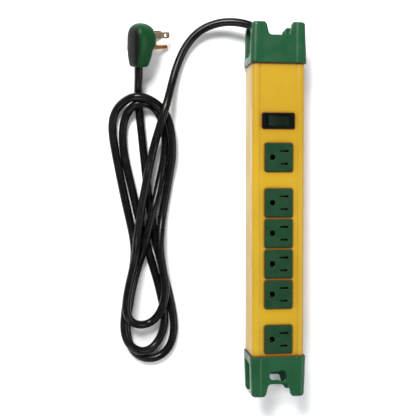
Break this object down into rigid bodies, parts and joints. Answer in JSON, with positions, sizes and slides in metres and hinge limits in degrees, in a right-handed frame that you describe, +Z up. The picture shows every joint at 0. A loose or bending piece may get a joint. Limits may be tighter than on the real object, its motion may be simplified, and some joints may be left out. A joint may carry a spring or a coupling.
{
  "type": "power strip",
  "caption": "Metal-cased power strip with moulded end caps, a row of three-pin outlets, a rocker switch and a long mains lead with a right-angle plug.",
  "frame": {"origin": "on the surface the strip lies on, under the middle of its case", "axes": "+X across the strip to its right side, +Y along it to the end the lead leaves, +Z up out of the outlets"},
  "size_m": [0.1961, 0.3803, 0.0448],
  "materials": {
    "case_paint": "satin yellow paint on folded steel",
    "galvanised": "plain zinc-plated sheet",
    "rivet_steel": "bare steel rivet",
    "screw_steel": "zinc-plated screw",
    "liner_board": "fibre board, matt",
    "cap_green": "satin green moulded plastic",
    "outlet_green": "satin green moulded plastic",
    "outlet_back_green": "matt green moulded plastic",
    "contact_brass": "stamped brass",
    "switch_black": "satin black moulded plastic",
    "rocker_lens": "dark green tinted plastic",
    "spring_steel": "spring wire",
    "lamp_glass": "small neon lamp",
    "lead_black": "black insulation",
    "lead_white": "white insulation",
    "lead_green": "green insulation",
    "cord_pvc": "glossy black jacket",
    "boot_pvc": "satin black boot",
    "plug_green": "satin green moulded plug",
    "pin_brass": "nickel-plated brass, dull"
  },
  "bodies": {
    "strip": {"housing_cover": "case_paint", "housing_base": "galvanised", "base_rivets": "rivet_steel", "insulating_liner": "liner_board", "end_cap_cord": "cap_green", "end_cap_foot": "cap_green", "cap_screws": "screw_steel", "hot_bar": "contact_brass", "neutral_bar": "contact_brass", "ground_bar": "contact_brass", "switch_frame": "switch_black", "switch_terminals": "contact_brass", "line_lead": "lead_black", "neutral_lead": "lead_white", "ground_lead": "lead_green", "switched_lead": "lead_black", "bonding_lead": "lead_green", "ground_screw": "screw_steel", "cord_lead": "cord_pvc", "cord_hank": "cord_pvc", "cord_tail": "cord_pvc", "strain_relief": "boot_pvc", "plug_body": "plug_green", "blade_line": "pin_brass", "blade_neutral": "pin_brass", "ground_pin": "pin_brass", "receptacle_1": "outlet_green", "receptacle_back_1": "outlet_back_green", "receptacle_2": "outlet_green", "receptacle_back_2": "outlet_back_green", "receptacle_3": "outlet_green", "receptacle_back_3": "outlet_back_green", "receptacle_4": "outlet_green", "receptacle_back_4": "outlet_back_green", "receptacle_5": "outlet_green", "receptacle_back_5": "outlet_back_green", "receptacle_6": "outlet_green", "receptacle_back_6": "outlet_back_green"},
    "rocker": {"switch_rocker": "rocker_lens", "switch_plunger": "contact_brass", "plunger_spring": "spring_steel", "switch_lamp": "lamp_glass"},
    "contact": {"contact_arm": "contact_brass"}
  },
  "joints": [
    {"name": "rocker_tilt", "type": "hinge", "parent": "strip", "child": "rocker", "pos_m": [-0.0005, 0.0888, 0.0407], "axis": [0, 1, 0], "range_deg": [-16, 0]},
    {"name": "contact_tilt", "type": "hinge", "parent": "strip", "child": "contact", "pos_m": [-0.0005, 0.0888, 0.0315], "axis": [0, 1, 0], "range_deg": [0, 8]}
  ],
  "couplings": [
    {"joint": "contact_tilt", "follows": "rocker_tilt", "ratio": -0.5}
  ]
}
